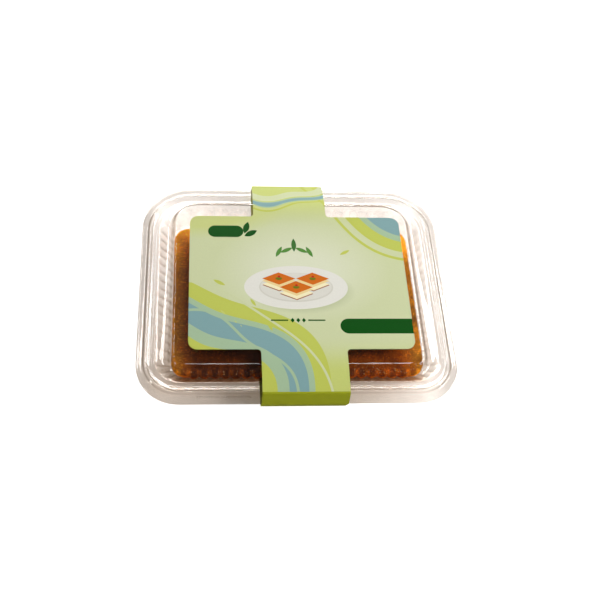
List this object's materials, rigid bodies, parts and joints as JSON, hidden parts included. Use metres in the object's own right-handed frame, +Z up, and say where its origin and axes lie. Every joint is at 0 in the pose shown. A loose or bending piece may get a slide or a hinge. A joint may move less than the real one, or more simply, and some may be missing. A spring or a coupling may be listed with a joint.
{
  "type": "packed kunafa in a clear box with a card sleeve",
  "caption": "Shut clear film box, fluted tray and stepped lid, holding a browned kunafa slab, wrapped in a printed card sleeve that widens to a label on top.",
  "frame": {"origin": "under the middle of the box, on the surface that it stands on", "axes": "+X along the long side, +Y from the front to the back, +Z up"},
  "size_m": [0.18, 0.1462, 0.0213],
  "materials": {
    "tray_film": "clear thermoformed film, glossy",
    "lid_film": "clear thermoformed film, glossy",
    "browned_crust": "browned pastry crust, moist with syrup",
    "printed_card": "printed coated card, satin"
  },
  "bodies": {
    "root": {"tray": "tray_film", "lid": "lid_film", "kunafa": "browned_crust", "sleeve": "printed_card"}
  },
  "joints": []
}
